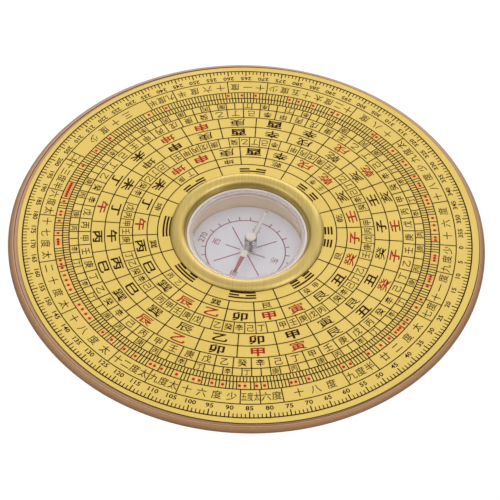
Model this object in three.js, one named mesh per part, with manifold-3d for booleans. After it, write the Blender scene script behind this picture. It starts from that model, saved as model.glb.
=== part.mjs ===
// Feng shui compass (luopan): a printed round dial in a cast tray, with a clear magnetic compass
// capsule dropped into the well at its centre.
// Units are millimetres, +Z is up, and the origin lies on the table under the centre of the dial.
// The dial's 0 degree mark faces +X and its degrees run clockwise seen from above.
import * as THREE from "three";
import { mergeVertices } from "three/addons/utils/BufferGeometryUtils.js";
import Module from "manifold-3d";

const wasm = await Module();
wasm.setup();

// Overall sizes
const rimRadius = 75; // widest point of the tray's rim, so the whole thing is 150 across
const faceHeight = 14; // the printed face above the table
const fitGap = 0.05; // between pieces that lie on each other

// Dial plate and the film that holds it
const plateRadius = 72.5;
const plateOffset = [0.55, 0.08]; // its outer edge is cut this far off the middle of its hole and print
const plateInnerRadius = 20.45;
const plateThickness = 0.35;
const filmThickness = 0.08;
const filmInset = 1.5; // the film stops short of the plate's edges

// Tray: recess for the plate, rim, underside and the wall round the well
const recessRadius = 73.15;
const recessDepth = 0.5;
const trayWall = 2.3;
const footRadius = 49;
const footHeight = 1; // the tray's bottom face, level with the thickness of the pads
const wellRadius = 19.6;
const wellWallRadius = 24;

// Bezel: an arched ring over the joint between the plate and the well, with a lip over the capsule
const bezelOuterRadius = 24.25;
const bezelEdgeHeight = 0.3; // its outer edge above the printed face
const bezelCrestRadius = 21.9;
const bezelCrestHeight = 1.17; // above the printed face
const bezelLipRadius = 19.15;
const bezelLipThickness = 0.13;
const bezelSpigotRadius = 20.3;
const bezelSpigotDepth = 3.15; // below the printed face

// Capsule: a clear cup with a foot flange, and a clear lid
const capsuleTopDepth = 1.25; // the lid's top below the printed face
const capsuleRadius = 19.1;
const cupInnerRadius = 18.3;
const cupFloor = 1;
const flangeRadius = 20.6;
const flangeThickness = 1.2;
const lidThickness = 0.8;
const lidPlugInnerRadius = 17.3;
const lidPlugDepth = 1.55;

// Card in the capsule
const cardTopDepth = 9.5; // below the printed face
const cardThickness = 0.3;
const cardRadius = 17.9;

// Needle and its hub
const needleHeading = 72.3; // plan angle from +X of the needle's pale, north end, in degrees
const needleLength = 27;
const needleMiddleWidth = 1.7;
const needleTipWidth = 0.9;
const needleThickness = 0.25;
const needleDepth = 5.4; // middle of the blade below the printed face
const hubRadius = 2;
const hubNeckRadius = 1.15;
const hubTopDepth = 3.7;
const hubBottomDepth = 8.5;
const buttonRadius = 1.6;
const buttonTopDepth = 2.95;
const pinRadius = 0.35;
const pivotPlace = [1.25, 0.2]; // the pin stands this far from the capsule's middle

// Bottom cover, its screws and the pads that the compass stands on
const coverRadius = 46.3;
const coverThickness = 1.25;
const screwCount = 4;
const screwCircleRadius = 34;
const screwShankRadius = 1.25;
const screwHeadRadius = 2.4;
const screwLength = 6.5;
const bossRadius = 3.4;
const padRadius = 5;
const padCircleRadius = 39;

// Heights that follow from the sizes above
const coverTop = footHeight + coverThickness;
const recessFloor = faceHeight - recessDepth;
const cavityCeiling = recessFloor - trayWall;
const cardTop = faceHeight - cardTopDepth;
const cardBottom = cardTop - cardThickness;
const cupFloorTop = cardBottom - fitGap;
const cupBottom = cupFloorTop - cupFloor;
const flangeTop = cupBottom + flangeThickness;
const lidTop = faceHeight - capsuleTopDepth;
const lidUnderside = lidTop - lidThickness;
const needleMiddle = faceHeight - needleDepth;
const bladeBottom = needleMiddle - needleThickness / 2;
const bladeTop = needleMiddle + needleThickness / 2;

const segments = { large: 72, medium: 60, small: 32, tiny: 20 };

const materials = {
  trayPaint: new THREE.MeshStandardMaterial({ color: 0xb08a6c, roughness: 0.42, metalness: 0.6 }),
  dialPrint: new THREE.MeshStandardMaterial({ color: 0xe8cd63, roughness: 0.45, metalness: 0.2 }),
  film: new THREE.MeshStandardMaterial({ color: 0xd8d2c0, roughness: 0.7, metalness: 0 }),
  satinBrass: new THREE.MeshStandardMaterial({ color: 0xc9b45a, roughness: 0.35, metalness: 0.9 }),
  clearPlastic: new THREE.MeshStandardMaterial({
    color: 0xe9e6ec,
    roughness: 0.08,
    metalness: 0,
    transparent: true,
    opacity: 0.35,
  }),
  cardPaper: new THREE.MeshStandardMaterial({ color: 0xd2cdda, roughness: 0.8, metalness: 0 }),
  needlePaint: new THREE.MeshStandardMaterial({ color: 0xdcd8c8, roughness: 0.4, metalness: 0.2 }),
  whitePlastic: new THREE.MeshStandardMaterial({ color: 0xe6dfcc, roughness: 0.5, metalness: 0 }),
  brass: new THREE.MeshStandardMaterial({ color: 0xc8a24c, roughness: 0.3, metalness: 1 }),
  steel: new THREE.MeshStandardMaterial({ color: 0xb9bbbe, roughness: 0.3, metalness: 1 }),
  foam: new THREE.MeshStandardMaterial({ color: 0x3a3936, roughness: 0.95, metalness: 0 }),
  coverPlastic: new THREE.MeshStandardMaterial({ color: 0x3b2f28, roughness: 0.6, metalness: 0 }),
  rubber: new THREE.MeshStandardMaterial({ color: 0x232323, roughness: 0.85, metalness: 0 }),
};

const point = (radius, height) => new THREE.Vector2(radius, height);

// A solid turned round the Z axis. The profile runs anticlockwise, outwards along the bottom and
// back along the top, and a ring's profile closes on itself.
function turned(profile, count, closed = true) {
  const outline = closed ? [...profile, profile[0].clone()] : profile;
  return new THREE.LatheGeometry(outline, count).rotateX(Math.PI / 2);
}

// A flat ring between two radii and two heights.
function ring(innerRadius, outerRadius, bottom, top, count) {
  const profile = [
    point(innerRadius, bottom),
    point(outerRadius, bottom),
    point(outerRadius, top),
    point(innerRadius, top),
  ];
  return turned(profile, count);
}

function rod(radius, bottom, top, count) {
  const profile = [point(0, bottom), point(radius, bottom), point(radius, top), point(0, top)];
  return turned(profile, count, false);
}

function toSolid(geometry) {
  const bare = geometry.clone();
  bare.deleteAttribute("normal");
  bare.deleteAttribute("uv");
  const merged = mergeVertices(bare, 1e-4);
  return new wasm.Manifold(
    new wasm.Mesh({
      numProp: 3,
      vertProperties: merged.attributes.position.array,
      triVerts: new Uint32Array(merged.index.array),
    }),
  );
}

function toGeometry(solid) {
  const mesh = solid.getMesh();
  const geometry = new THREE.BufferGeometry();
  geometry.setAttribute("position", new THREE.BufferAttribute(mesh.vertProperties, 3));
  geometry.setIndex(new THREE.BufferAttribute(mesh.triVerts, 1));
  geometry.computeVertexNormals();
  return geometry;
}

function piece(name, geometry, material) {
  const mesh = new THREE.Mesh(geometry, material);
  mesh.name = name;
  return mesh;
}

// Places of the screws, half way between the pads.
const screwPlaces = [];
for (let i = 0; i < screwCount; i++) {
  const angle = ((i + 0.5) * 2 * Math.PI) / screwCount;
  screwPlaces.push([screwCircleRadius * Math.cos(angle), screwCircleRadius * Math.sin(angle)]);
}

// Tray: one casting with a shallow recess on top, a dished underside, a stepped well and a hollow
// that the bottom cover closes.
function trayBody() {
  const edgeHeight = faceHeight - 1.45;
  const underside = new THREE.QuadraticBezierCurve(
    point(footRadius, footHeight + 0.35),
    point(62.5, 3.2),
    point(rimRadius - 0.5, edgeHeight - 0.5),
  ).getPoints(6);
  const rimTop = [
    point(rimRadius - 0.15, edgeHeight - 0.25),
    point(rimRadius, edgeHeight),
    point(rimRadius - 0.15, edgeHeight + 0.25),
    point(rimRadius - 0.5, edgeHeight + 0.5),
    point(rimRadius - 1.1, edgeHeight + 0.9),
    point(recessRadius + 0.4, faceHeight - 0.27),
    point(recessRadius + 0.1, faceHeight - 0.32),
    point(recessRadius, faceHeight - 0.45),
  ];
  const cavityRoof = new THREE.QuadraticBezierCurve(
    point(67, cavityCeiling),
    point(60, 5),
    point(44, coverTop + fitGap),
  ).getPoints(5);
  const profile = [
    point(coverRadius + 0.3, footHeight),
    point(footRadius - 0.4, footHeight),
    ...underside,
    ...rimTop,
    point(recessRadius, recessFloor),
    point(bezelSpigotRadius + fitGap, recessFloor),
    point(bezelSpigotRadius + fitGap, faceHeight - bezelSpigotDepth - fitGap),
    point(wellRadius, faceHeight - bezelSpigotDepth - fitGap),
    point(wellRadius, flangeTop + 0.1),
    point(flangeRadius + 0.6, flangeTop + 0.1),
    point(flangeRadius + 0.6, coverTop + fitGap),
    point(wellWallRadius, coverTop + fitGap),
    point(wellWallRadius, cavityCeiling - 1),
    point(wellWallRadius + 1, cavityCeiling),
    ...cavityRoof,
    point(coverRadius + 0.3, coverTop + fitGap),
  ];
  let tray = toSolid(turned(profile, segments.large));
  const boss = toSolid(rod(bossRadius, coverTop + fitGap, cavityCeiling + 0.5, segments.tiny));
  const hole = toSolid(rod(screwShankRadius + fitGap, coverTop - 1, screwLength + 2, segments.tiny));
  for (const [x, y] of screwPlaces) {
    tray = tray.add(boss.translate([x, y, 0])).subtract(hole.translate([x, y, 0]));
  }
  return piece("tray_body", toGeometry(tray), materials.trayPaint);
}

function dialPlate() {
  const bottom = faceHeight - plateThickness;
  const disc = toSolid(rod(plateRadius, bottom, faceHeight, segments.large));
  const hole = toSolid(rod(plateInnerRadius, bottom - 1, faceHeight + 1, segments.large));
  const plate = disc.translate([...plateOffset, 0]).subtract(hole);
  return piece("dial_plate", toGeometry(plate), materials.dialPrint);
}

function plateFilm() {
  const bottom = recessFloor + 0.03;
  const inner = bezelOuterRadius + filmInset;
  const outer = plateRadius - filmInset;
  const geometry = ring(inner, outer, bottom, bottom + filmThickness, segments.medium);
  return piece("plate_film", geometry, materials.film);
}

// Bezel: its outer slope comes down on the plate, its inner slope ends in a lip just above the lid,
// and a spigot holds it in the tray.
function bezelRing() {
  const face = faceHeight + 0.02;
  const crest = point(bezelCrestRadius, faceHeight + bezelCrestHeight);
  const lipBottom = lidTop + 0.12;
  const outerSlope = new THREE.QuadraticBezierCurve(
    point(bezelOuterRadius, faceHeight + bezelEdgeHeight),
    point(bezelCrestRadius + 1.4, crest.y),
    crest,
  ).getPoints(5);
  const innerSlope = new THREE.QuadraticBezierCurve(
    crest,
    point(bezelCrestRadius - 2.45, crest.y),
    point(bezelLipRadius, lipBottom + bezelLipThickness),
  ).getPoints(6);
  const profile = [
    point(wellRadius, faceHeight - bezelSpigotDepth),
    point(bezelSpigotRadius, faceHeight - bezelSpigotDepth),
    point(bezelSpigotRadius, face),
    point(bezelOuterRadius, face),
    ...outerSlope,
    ...innerSlope.slice(1),
    point(bezelLipRadius, lipBottom),
    point(wellRadius, lipBottom),
  ];
  return piece("bezel_ring", turned(profile, segments.large), materials.satinBrass);
}

function capsuleCup() {
  const wallTop = lidUnderside - fitGap;
  const profile = [
    point(0, cupBottom),
    point(flangeRadius, cupBottom),
    point(flangeRadius, flangeTop),
    point(capsuleRadius - 0.1, flangeTop),
    point(capsuleRadius - 0.1, wallTop),
    point(cupInnerRadius, wallTop),
    point(cupInnerRadius, cupFloorTop),
    point(0, cupFloorTop),
  ];
  return piece("capsule_cup", turned(profile, segments.medium, false), materials.clearPlastic);
}

// Lid: a flat window with a plug ring that slips inside the cup's wall.
function capsuleLid() {
  const plugOuterRadius = cupInnerRadius - 0.1;
  const chamfer = 0.2;
  const profile = [
    point(0, lidUnderside),
    point(lidPlugInnerRadius, lidUnderside),
    point(lidPlugInnerRadius, lidUnderside - lidPlugDepth),
    point(plugOuterRadius, lidUnderside - lidPlugDepth),
    point(plugOuterRadius, lidUnderside),
    point(capsuleRadius, lidUnderside),
    point(capsuleRadius, lidTop - chamfer),
    point(capsuleRadius - chamfer, lidTop),
    point(0, lidTop),
  ];
  return piece("capsule_lid", turned(profile, segments.medium, false), materials.clearPlastic);
}

function compassCard() {
  const disc = toSolid(rod(cardRadius, cardBottom, cardTop, segments.medium));
  const hole = toSolid(rod(1, cardBottom - 1, cardTop + 1, segments.tiny));
  const card = disc.subtract(hole.translate([...pivotPlace, 0]));
  return piece("compass_card", toGeometry(card), materials.cardPaper);
}

// Pale plastic collar that holds the pin upright and the card down round it.
function pivotCollar() {
  const bottom = cardTop + fitGap;
  const profile = [
    point(pinRadius + fitGap, bottom),
    point(1.5, bottom),
    point(1.5, bottom + 0.35),
    point(0.9, bottom + 0.7),
    point(pinRadius + fitGap, bottom + 0.7),
  ];
  return piece("pivot_collar", turned(profile, segments.tiny), materials.whitePlastic);
}

const pinTip = needleMiddle + 0.9;

function pivotPin() {
  const bottom = cupFloorTop + fitGap;
  const profile = [
    point(0, bottom),
    point(pinRadius, bottom),
    point(pinRadius, pinTip - 1.4),
    point(0.08, pinTip),
    point(0, pinTip),
  ];
  return piece("pivot_pin", turned(profile, segments.tiny, false), materials.steel);
}

// Blade: a long flat lozenge with cut-off tips and a round hole for the hub's neck.
function needleBlade() {
  const tip = needleLength / 2;
  const halfTip = needleTipWidth / 2;
  const halfMiddle = needleMiddleWidth / 2 + 0.7;
  const halfBlade = needleMiddleWidth / 2;
  const outline = new THREE.Shape();
  outline.moveTo(tip, -halfTip);
  outline.lineTo(tip, halfTip);
  outline.lineTo(hubRadius + 0.4, halfBlade);
  outline.lineTo(0.8, halfMiddle);
  outline.lineTo(-0.8, halfMiddle);
  outline.lineTo(-hubRadius - 0.4, halfBlade);
  outline.lineTo(-tip, halfTip);
  outline.lineTo(-tip, -halfTip);
  outline.lineTo(-hubRadius - 0.4, -halfBlade);
  outline.lineTo(-0.8, -halfMiddle);
  outline.lineTo(0.8, -halfMiddle);
  outline.lineTo(hubRadius + 0.4, -halfBlade);
  outline.closePath();
  const hole = new THREE.Path();
  hole.absarc(0, 0, hubNeckRadius + fitGap, 0, 2 * Math.PI, true);
  outline.holes.push(hole);
  const geometry = new THREE.ExtrudeGeometry(outline, {
    depth: needleThickness,
    bevelEnabled: false,
    curveSegments: 12,
  });
  const blade = piece("needle_blade", geometry, materials.needlePaint);
  blade.position.z = bladeBottom;
  return blade;
}

const socketRadius = 0.75;
const socketTop = faceHeight - hubTopDepth - 0.5;

// Hub: a clear cylinder on the blade, with a neck through the blade and a socket for the jewel.
function needleHub() {
  const shoulder = bladeTop + fitGap;
  const neckBottom = faceHeight - hubBottomDepth + 0.2;
  const top = faceHeight - hubTopDepth;
  const profile = [
    point(socketRadius, neckBottom),
    point(hubNeckRadius, neckBottom),
    point(hubNeckRadius, shoulder),
    point(hubRadius, shoulder),
    point(hubRadius, top),
    point(0, top),
    point(0, socketTop),
    point(socketRadius, socketTop),
    point(socketRadius, neckBottom),
  ];
  return piece("needle_hub", turned(profile, segments.tiny, false), materials.clearPlastic);
}

function hubCollar() {
  const bottom = faceHeight - hubBottomDepth;
  const top = bladeBottom - fitGap;
  const geometry = ring(hubNeckRadius + fitGap, hubRadius, bottom, top, segments.tiny);
  return piece("hub_collar", geometry, materials.clearPlastic);
}

// Jewel: the small cup that turns on the pin's tip.
function hubJewel() {
  const top = socketTop - 0.03;
  const bottom = top - 0.95;
  const radius = socketRadius - 0.05;
  const profile = [
    point(0.45, bottom),
    point(radius, bottom),
    point(radius, top),
    point(0, top),
    point(0, pinTip + 0.05),
    point(0.45, bottom),
  ];
  return piece("hub_jewel", turned(profile, segments.tiny, false), materials.brass);
}

function hubButton() {
  const bottom = faceHeight - hubTopDepth + fitGap;
  const top = faceHeight - buttonTopDepth;
  const profile = [
    point(0, bottom),
    point(buttonRadius, bottom),
    point(buttonRadius, top - 0.15),
    point(buttonRadius - 0.15, top),
    point(0, top),
  ];
  return piece("hub_button", turned(profile, segments.small, false), materials.whitePlastic);
}

// Foam ring that presses the capsule's flange up against the step in the well.
function capsuleCushion() {
  const geometry = ring(10, 19.5, coverTop + fitGap, cupBottom - fitGap, segments.small);
  return piece("capsule_cushion", geometry, materials.foam);
}

// Profile shared by a countersunk screw and, a little larger, by the hole that it sits in.
function countersink(headRadius, shankRadius, bottom, top) {
  const coneHeight = headRadius - shankRadius;
  const profile = [
    point(0, bottom),
    point(headRadius, bottom),
    point(shankRadius, bottom + coneHeight),
    point(shankRadius, top),
    point(0, top),
  ];
  return turned(profile, segments.tiny, false);
}

function bottomCover() {
  let cover = toSolid(rod(coverRadius, footHeight, coverTop, segments.medium));
  const holeBottom = footHeight - 0.05;
  const hole = toSolid(
    countersink(screwHeadRadius + 0.25, screwShankRadius + 0.2, holeBottom, coverTop + 1),
  );
  for (const [x, y] of screwPlaces) {
    cover = cover.subtract(hole.translate([x, y, 0]));
  }
  return piece("bottom_cover", toGeometry(cover), materials.coverPlastic);
}

function coverScrew(name, x, y) {
  const headFace = footHeight + 0.05;
  const blank = countersink(screwHeadRadius, screwShankRadius, headFace, headFace + screwLength);
  let screw = toSolid(blank);
  for (const [width, depth] of [
    [2.4, 0.5],
    [0.5, 2.4],
  ]) {
    const slot = new THREE.BoxGeometry(width, depth, 0.9).translate(0, 0, headFace);
    screw = screw.subtract(toSolid(slot));
  }
  const mesh = piece(name, toGeometry(screw), materials.steel);
  mesh.position.set(x, y, 0);
  return mesh;
}

function footPad(name, angle) {
  const top = footHeight - 0.02;
  const profile = [
    point(0, 0),
    point(padRadius - 0.2, 0),
    point(padRadius, 0.2),
    point(padRadius, top),
    point(0, top),
  ];
  const mesh = piece(name, turned(profile, segments.small, false), materials.rubber);
  mesh.position.set(padCircleRadius * Math.cos(angle), padCircleRadius * Math.sin(angle), 0);
  return mesh;
}

// Assembly
const compass = new THREE.Group();
compass.add(trayBody(), dialPlate(), plateFilm(), bezelRing());
compass.add(bottomCover(), capsuleCushion());
screwPlaces.forEach(([x, y], i) => compass.add(coverScrew(`cover_screw_${i + 1}`, x, y)));
for (let i = 0; i < screwCount; i++) {
  compass.add(footPad(`foot_pad_${i + 1}`, (i * 2 * Math.PI) / screwCount));
}

const capsule = new THREE.Group();
capsule.add(capsuleCup(), capsuleLid(), compassCard());
const pivot = new THREE.Group();
pivot.position.set(...pivotPlace, 0);
pivot.add(pivotCollar(), pivotPin());
capsule.add(pivot);
compass.add(capsule);

const needle = new THREE.Group();
needle.position.set(...pivotPlace, 0);
needle.rotation.z = THREE.MathUtils.degToRad(needleHeading);
needle.add(needleBlade(), needleHub(), hubCollar(), hubJewel(), hubButton());
compass.add(needle);

export default compass;
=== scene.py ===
# %% [markdown]
# # A feng shui compass
# The real thing is a cast metal tray with a thin printed dial laid in it, a satin brass ring in the
# middle, and a clear compass capsule dropped into the well. The CAD model already holds every piece
# at its true size, so this lesson gives the pieces their finish and draws the printed rings.

# %% Load the frame
import math

import bmesh
import bpy
from mathutils import Matrix, Vector


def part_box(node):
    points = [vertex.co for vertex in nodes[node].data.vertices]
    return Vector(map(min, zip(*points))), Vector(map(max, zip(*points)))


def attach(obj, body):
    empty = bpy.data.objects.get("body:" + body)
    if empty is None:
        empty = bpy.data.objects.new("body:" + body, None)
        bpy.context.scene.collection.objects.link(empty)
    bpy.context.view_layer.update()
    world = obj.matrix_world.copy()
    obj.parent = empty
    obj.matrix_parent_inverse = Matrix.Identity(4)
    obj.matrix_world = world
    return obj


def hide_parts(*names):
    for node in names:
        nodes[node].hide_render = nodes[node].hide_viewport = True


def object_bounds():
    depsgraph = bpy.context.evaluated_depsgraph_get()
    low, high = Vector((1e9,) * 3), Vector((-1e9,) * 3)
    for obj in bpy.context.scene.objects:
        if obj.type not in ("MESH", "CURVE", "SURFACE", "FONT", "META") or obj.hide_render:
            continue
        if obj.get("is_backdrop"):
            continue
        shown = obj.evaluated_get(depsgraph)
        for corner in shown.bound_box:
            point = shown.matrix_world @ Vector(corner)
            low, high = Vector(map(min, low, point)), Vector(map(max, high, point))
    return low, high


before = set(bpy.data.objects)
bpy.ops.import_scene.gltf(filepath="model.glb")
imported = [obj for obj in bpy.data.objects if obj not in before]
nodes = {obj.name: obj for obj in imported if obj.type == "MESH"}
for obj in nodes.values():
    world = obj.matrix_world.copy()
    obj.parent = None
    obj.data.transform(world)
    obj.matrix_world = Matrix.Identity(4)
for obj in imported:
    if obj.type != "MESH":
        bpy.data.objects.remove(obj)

scene = bpy.context.scene
cad_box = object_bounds()
MM = 0.001
print("CAD nodes:", len(nodes))

# %% [markdown]
# ## Three small helpers
# Colours are easiest to read as the hex values of a paint chart, but Blender's sockets want linear
# light, so one function turns one into the other. A second function adds a node, sets it and links
# it, which keeps every node tree below down to one line for each node. The third puts an object into
# the scene.

# %% Colour, node and object helpers
def linear(hex_colour):
    """An sRGB hex colour such as "E8CD63" as the linear RGBA that a socket takes."""
    channels = [int(hex_colour[i : i + 2], 16) / 255 for i in (0, 2, 4)]
    return [c / 12.92 if c <= 0.04045 else ((c + 0.055) / 1.055) ** 2.4 for c in channels] + [1.0]


def add_node(tree, kind, inputs=None, **settings):
    """Adds a node. An input gets a value, or a link from a socket or from a node's first output."""
    node = tree.nodes.new(kind)
    for name, value in settings.items():
        setattr(node, name, value)
    for name, value in (inputs or {}).items():
        if isinstance(value, bpy.types.Node):
            value = value.outputs[0]
        if isinstance(value, bpy.types.NodeSocket):
            tree.links.new(value, node.inputs[name])
        else:
            node.inputs[name].default_value = value
    return node


def put(name, data):
    """A new object in the scene, with a mesh, a lamp, a camera or a text."""
    thing = bpy.data.objects.new(name, data)
    scene.collection.objects.link(thing)
    return thing


print("yellow enamel in linear light:", [round(c, 3) for c in linear("E8CD63")])

# %% [markdown]
# ## Camera
# The photograph is taken from the front, about fifty degrees above the table, with a long lens held
# slightly off level. A camera is easiest to describe by the point it aims at and by its distance,
# its two angles and its roll, so these are the named values.

# %% Camera
aim = Vector((1.465, -7.557, 14.0)) * MM
distance = 565.46 * MM
focal_length = 130.457
azimuth = math.radians(2.60)
elevation = math.radians(50.69)
roll = math.radians(2.42)

level = math.cos(elevation)
back = Vector((math.sin(azimuth) * level, -math.cos(azimuth) * level, math.sin(elevation)))
level_right = Vector((0, 0, 1)).cross(back).normalized()
level_up = back.cross(level_right)
right = level_right * math.cos(roll) + level_up * math.sin(roll)
up = back.cross(right)

camera_data = bpy.data.cameras.new("camera")
camera_data.sensor_width = 36
camera_data.lens = focal_length
camera = put("camera", camera_data)
turn = Matrix((right, up, back)).transposed().to_4x4()
camera.matrix_world = Matrix.Translation(aim + back * distance) @ turn
scene.camera = camera
print("camera at", [round(c, 4) for c in camera.location])

# %% [markdown]
# ## Light and floor
# Product photographs of this kind are taken in a light tent: white cloth all round, brighter low at
# the back, with a dim opening for the camera, and two softboxes that shine in from above its sides.
# Each panel of the tent is a soft spot round a direction, and where two overlap the brighter one
# counts. Gaps are spots that take the panels away again, and leave only the dim, warm light of the
# room. Metal mirrors all this, so the bezel shows where the panels are. One wide lamp close behind the
# left of the disc gives the soft shadows. The floor is white to the camera by Light Path, and a small
# share of it stays a pale surface that takes shadow.

# %% Light
scene.view_settings.view_transform = "Standard"

world = bpy.data.worlds.new("light_tent")
world.use_nodes = True
scene.world = world
tree = world.node_tree
tree.nodes.clear()
panels = {
    # name: (direction, cosine at its edge, cosine where it is full, strength)
    "roof": ((0, 0, 1), 0.3, 0.66, 0.7),
    "right softbox": ((0.5, -0.14, 0.85), 0.975, 0.99, 2.6),
    "left softbox": ((-0.5, -0.14, 0.85), 0.975, 0.99, 1.7),
    "back wall": ((0.05, 0.97, 0.2), 0.77, 0.96, 1.7),
    "right gap": ((0.82, -0.57, 0.03), 0.97, 0.995, 1.4),
    "left gap": ((-0.82, -0.57, 0.03), 0.97, 0.995, 0.8),
}
gaps = {
    "opening": ((0, -0.966, 0.259), 0.64, 0.9, 1.0),
    "behind the lamp": ((-0.42, 0.47, 0.77), 0.78, 0.87, 0.9),
}
where = add_node(tree, "ShaderNodeTexCoord").outputs["Generated"]
total = 0.0
for name, (direction, edge, full, strength) in {**panels, **gaps}.items():
    aimed = {0: where, 1: Vector(direction).normalized()}
    facing = add_node(tree, "ShaderNodeVectorMath", aimed, operation="DOT_PRODUCT")
    spot = {"Value": facing.outputs["Value"], "From Min": edge, "From Max": full}
    spot["To Min"], spot["To Max"] = (0.0, strength) if name in panels else (1.0, 1 - strength)
    share = add_node(tree, "ShaderNodeMapRange", spot, interpolation_type="SMOOTHSTEP")
    operation = "MAXIMUM" if name in panels else "MULTIPLY"
    total = add_node(tree, "ShaderNodeMath", {0: share, 1: total}, operation=operation)
room = add_node(tree, "ShaderNodeBackground", {"Color": linear("FFF6EE"), "Strength": 0.31})
tent = add_node(tree, "ShaderNodeBackground", {"Color": linear("FFFFFF"), "Strength": total})
both = add_node(tree, "ShaderNodeAddShader", {0: room, 1: tent})
add_node(tree, "ShaderNodeOutputWorld", {"Surface": both})

lamp_data = bpy.data.lights.new("softbox", "AREA")
lamp_data.shape = "RECTANGLE"
lamp_data.size = 0.9
lamp_data.size_y = 0.7
lamp_data.energy = 0.9
lamp = put("softbox", lamp_data)
lamp.location = (-0.27, 0.3, 0.5)
lamp.rotation_euler = (-lamp.location).to_track_quat("-Z", "Y").to_euler()
print("lamp", lamp_data.energy, "W at", [round(c, 2) for c in lamp.location])

# %% Floor
floor_half = 4.0
white_level = 1.08
white_share = 0.9
corners = [(x * floor_half, y * floor_half, 0) for x, y in ((-1, -1), (1, -1), (1, 1), (-1, 1))]
floor_mesh = bpy.data.meshes.new("floor")
floor_mesh.from_pydata(corners, [], [(0, 1, 2, 3)])
floor = put("floor", floor_mesh)
paper_roll = bpy.data.materials.new("matt white paper roll")
paper_roll.use_nodes = True
tree = paper_roll.node_tree
tree.nodes.clear()
surface = add_node(tree, "ShaderNodeBsdfDiffuse", {"Color": linear("EDEDEC")})
white = add_node(tree, "ShaderNodeEmission", {"Strength": white_level})
rays = add_node(tree, "ShaderNodeLightPath").outputs
seen = 0.0
for ray in ("Is Camera Ray", "Is Glossy Ray", "Is Transmission Ray"):
    seen = add_node(tree, "ShaderNodeMath", {0: rays[ray], 1: seen}, operation="MAXIMUM")
share = add_node(tree, "ShaderNodeMath", {0: seen, 1: white_share}, operation="MULTIPLY")
mix = add_node(tree, "ShaderNodeMixShader", {0: share, 1: surface, 2: white})
add_node(tree, "ShaderNodeOutputMaterial", {"Surface": mix})
floor_mesh.materials.append(paper_roll)
floor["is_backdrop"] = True
print("floor:", 2 * floor_half, "m wide")

# %% [markdown]
# ## Finishes
# Each finish starts from what the real surface is. They all read Object coordinates, which are metres
# on every piece here, so a noise scale of 1000 divided by a size in millimetres gives marks of that
# size. Nearly every finish is made in the same few moves, each a function: a colour that drifts between
# two, a colour laid over it where some value says so, the distance from the axis as such a value, and
# at the end the colour and a shallow relief on the shader.

# %% Moves that the finishes share
def new_finish(name, **values):
    """A material with one Principled shader and its values. Gives (material, tree, shader, place)."""
    finish = bpy.data.materials.new(name)
    finish.use_nodes = True
    tree = finish.node_tree
    tree.nodes.clear()
    values = {label.replace("_", " "): value for label, value in values.items()}
    shader = add_node(tree, "ShaderNodeBsdfPrincipled", values)
    add_node(tree, "ShaderNodeOutputMaterial", {"Surface": shader})
    place = add_node(tree, "ShaderNodeTexCoord").outputs["Object"]
    return finish, tree, shader, place


def marks(place, size, detail):
    """The inputs of a noise with marks of a size in mm."""
    return {"Vector": place, "Scale": 1000 / size, "Detail": detail}


def drifting(tree, place, size, detail, first, second):
    """A colour that drifts between two in marks of a size in mm. Gives (colour, noise)."""
    noise = add_node(tree, "ShaderNodeTexNoise", marks(place, size, detail))
    colours = {0: noise, 6: linear(first), 7: linear(second)}
    return add_node(tree, "ShaderNodeMix", colours, data_type="RGBA").outputs[2], noise


def lay_over(tree, below, colour, value, start, full, most=1.0):
    """The colour over the one below: none of it where the value is at start, most of it at full."""
    limits = {"Value": value, "From Min": start, "From Max": full, "To Max": most}
    colours = {0: add_node(tree, "ShaderNodeMapRange", limits), 6: below, 7: linear(colour)}
    return add_node(tree, "ShaderNodeMix", colours, data_type="RGBA").outputs[2]


def from_axis(tree, place, centre=(0, 0, 0)):
    """The distance from the upright axis through the centre."""
    plan = add_node(tree, "ShaderNodeVectorMath", {0: place, 1: centre}, operation="SUBTRACT")
    plan = add_node(tree, "ShaderNodeVectorMath", {0: plan, 1: (1, 1, 0)}, operation="MULTIPLY")
    return add_node(tree, "ShaderNodeVectorMath", {0: plan}, operation="LENGTH").outputs["Value"]


def cover(tree, shader, colour, height=None, strength=0.0, depth=0.0):
    """Puts the colour on the shader, and the height as a relief of a depth in mm."""
    tree.links.new(colour, shader.inputs["Base Color"])
    if height is not None:
        relief = {"Height": height, "Strength": strength, "Distance": depth * MM}
        bump = add_node(tree, "ShaderNodeBump", relief)
        tree.links.new(bump.outputs[0], shader.inputs["Normal"])


print("noise scale for 2 mm marks:", marks(None, 2, 0)["Scale"])

# %% [markdown]
# ## Dial enamel
# The dial is a thin aluminium sheet, coated with yellow enamel and screen printed. The coat is even,
# so it needs only a slow drift between two close yellows, a fine grain from the metallic pigment,
# and the faint waviness of a sprayed coat. The blank was cut a little off the middle of its print.
# Its cut edge is bare, and it is painted dark brown as painted shade in the gap beside the rim.

# %% Dial enamel
plate_offset = Vector((0.55, 0.08, 0)) * MM
plate_radius = 72.5
enamel, tree, shader, place = new_finish("yellow enamel on aluminium, sprayed", Roughness=0.42)
drift = add_node(tree, "ShaderNodeTexNoise", marks(place, 28, 2.0))
grain = add_node(tree, "ShaderNodeTexNoise", marks(place, 0.5, 3.0))
both = add_node(tree, "ShaderNodeMix", {0: 0.35, 2: drift, 3: grain})
tone = lay_over(tree, linear("ECCC60"), "F4D56C", both, 0.35, 0.65)
edge_start, edge_full = (plate_radius - 0.07) * MM, (plate_radius - 0.02) * MM
# Painted shade: the cut edge is coloured dark brown for the shade in the gap beside the rim.
tone = lay_over(tree, tone, "4A3420", from_axis(tree, place, plate_offset), edge_start, edge_full)
wave = add_node(tree, "ShaderNodeTexNoise", marks(place, 1.6, 1.0))
cover(tree, shader, tone, wave, 0.12, 0.02)
print("plate cut off its print by", round(plate_offset.length / MM, 2), "mm")

# %% [markdown]
# ## Printing inks
# Screen ink is a matt film about two hundredths of a millimetre thick. It is never quite solid: the
# mesh leaves tiny light specks, which a fine noise between the ink and a thinner ink shows.

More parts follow.
